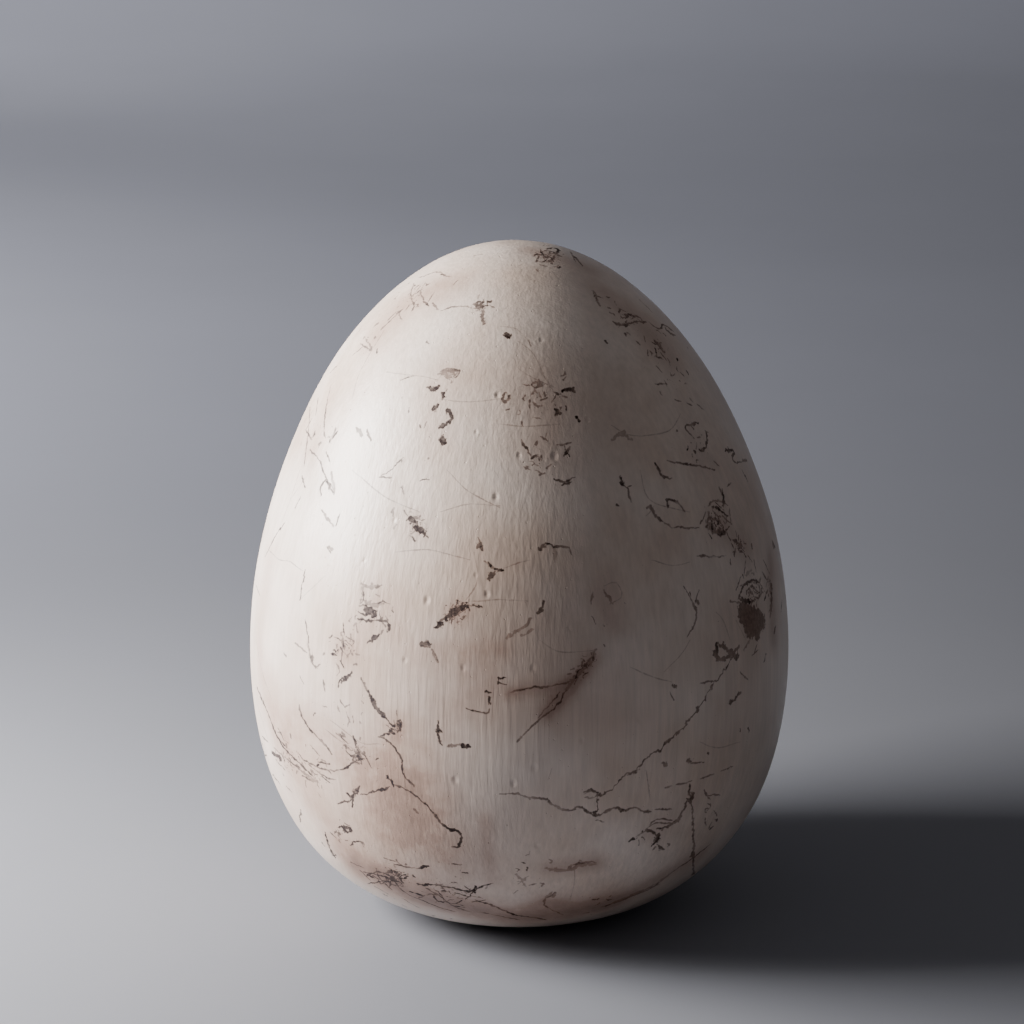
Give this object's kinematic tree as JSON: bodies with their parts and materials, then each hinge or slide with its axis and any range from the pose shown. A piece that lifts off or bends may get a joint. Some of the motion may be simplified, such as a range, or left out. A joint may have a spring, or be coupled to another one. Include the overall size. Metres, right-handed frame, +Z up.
{
  "type": "ceramic egg",
  "caption": "Hand-formed burnished clay egg, pale ivory with dark smoke-fired lines, flecks and clouds, standing upright on a small flat spot at its blunt end.",
  "frame": {"origin": "centre of the flat spot that the egg stands on, at its blunt end", "axes": "+Z up along the egg's axis towards its narrow end, -Y towards the picture's camera, +X to the picture's right"},
  "size_m": [0.14, 0.14, 0.174],
  "materials": {
    "burnished_clay": "satin, burnished"
  },
  "bodies": {
    "root": {"egg": "burnished_clay"}
  },
  "joints": []
}
